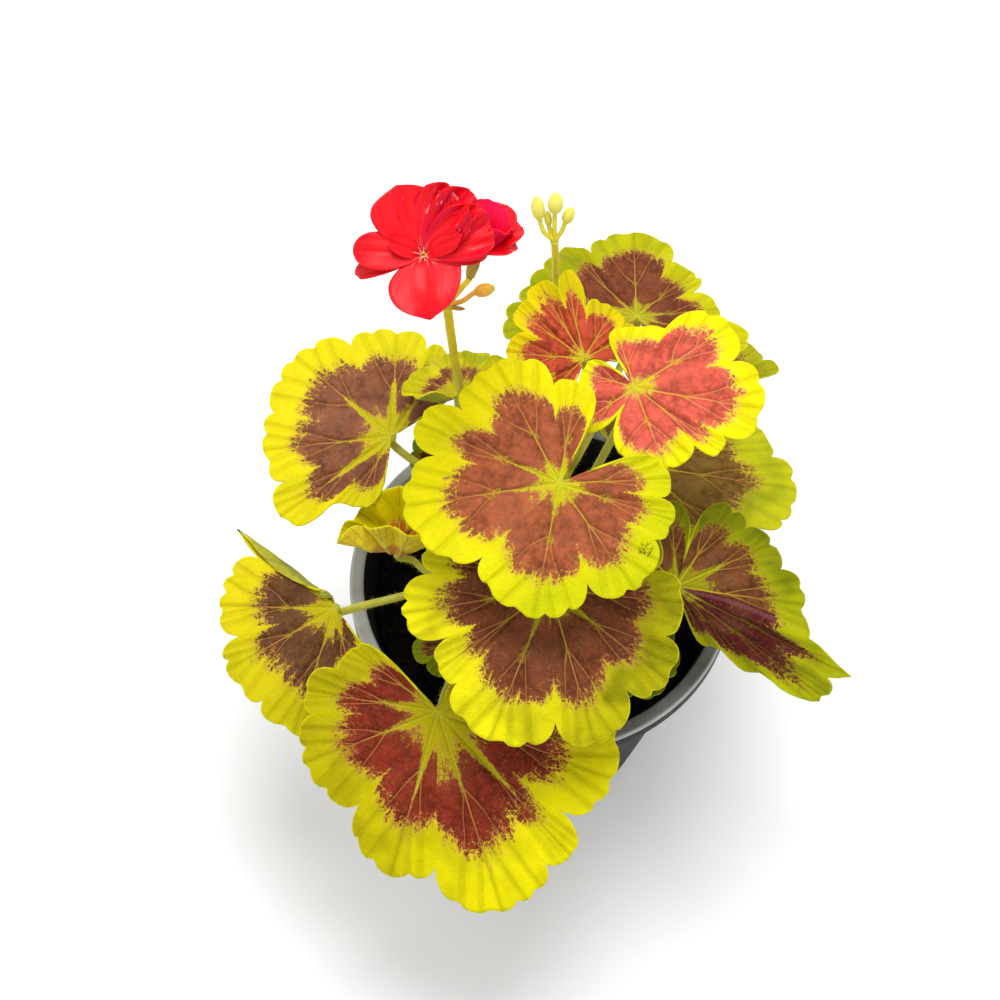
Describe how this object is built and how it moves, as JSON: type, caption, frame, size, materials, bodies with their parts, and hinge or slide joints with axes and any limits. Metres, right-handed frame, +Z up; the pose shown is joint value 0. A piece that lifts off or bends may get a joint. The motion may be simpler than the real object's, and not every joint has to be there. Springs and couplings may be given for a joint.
{
  "type": "potted zonal pelargonium",
  "caption": "Potted zonal pelargonium with lobed yellow leaves with a chestnut zone, red semi-double blooms and buds, in a plain black nursery pot of soil.",
  "frame": {"origin": "centre of the pot's flat base, on the surface that it stands on", "axes": "+Z up the plant, -Y to the front that the picture shows, +X to the right"},
  "size_m": [0.1625, 0.1906, 0.2361],
  "materials": {
    "pot_plastic": "smooth black injection-moulded plastic with a grey sheen on the lip",
    "soil": "dark damp peat compost with a few fibres",
    "stem": "fleshy yellow-green stem with fine hairs",
    "zoned_leaf": "soft matt leaf, yellow-green margin and chestnut zone",
    "young_leaf": "soft matt young leaf, yellow margin and coral zone",
    "green_leaf": "soft matt small leaf, yellow-green with a brown zone",
    "petal": "satin bright red petals",
    "bud": "pale yellow-green buds and stalk with fine hairs"
  },
  "bodies": {
    "root": {"pot": "pot_plastic", "soil": "soil", "main_stem": "stem", "leaf_centre": "zoned_leaf", "leaf_front": "zoned_leaf", "leaf_low_front": "zoned_leaf", "leaf_low_left": "zoned_leaf", "leaf_upper_left": "zoned_leaf", "leaf_small_back_left": "green_leaf", "leaf_young_folded": "young_leaf", "leaf_young_right": "young_leaf", "leaf_back": "zoned_leaf", "leaf_back_right": "green_leaf", "leaf_right": "zoned_leaf", "leaf_tented_right": "zoned_leaf", "leaf_curled_young": "green_leaf", "leaf_under_left": "green_leaf", "leaf_under_right": "green_leaf", "leaf_under_back": "green_leaf", "flower_stalk": "stem", "bloom_front": "petal", "bloom_side": "petal", "bud_cluster": "bud"}
  },
  "joints": []
}
